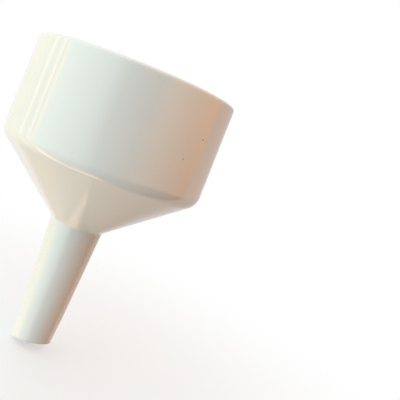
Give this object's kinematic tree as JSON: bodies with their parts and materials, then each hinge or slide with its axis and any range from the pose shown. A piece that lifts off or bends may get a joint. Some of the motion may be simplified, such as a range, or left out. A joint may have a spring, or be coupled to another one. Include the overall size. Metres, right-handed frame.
{
  "type": "buchner funnel",
  "caption": "Glazed porcelain Buchner funnel: straight-walled bowl, fixed perforated plate, shallow collecting cone and a tapered stem with a bevelled drip tip.",
  "frame": {"origin": "on the funnel's axis, level with the lowest point of the stem's tip", "axes": "+Z along the axis, up to the rim; -Y towards the viewer in the usual side view; the long side of the stem's tip is 122 degrees anticlockwise from +X, seen from above"},
  "size_m": [0.121, 0.121, 0.1717],
  "materials": {
    "body_glaze": "gloss",
    "plate_glaze": "gloss",
    "joint_slip": "gloss"
  },
  "bodies": {
    "root": {"bowl_wall": "body_glaze", "filter_plate": "plate_glaze", "collecting_cone": "body_glaze", "outlet_stem": "body_glaze", "shoulder_lute": "joint_slip", "plate_bed_lute": "joint_slip", "plate_upper_fillet": "joint_slip", "neck_lute": "joint_slip"}
  },
  "joints": []
}
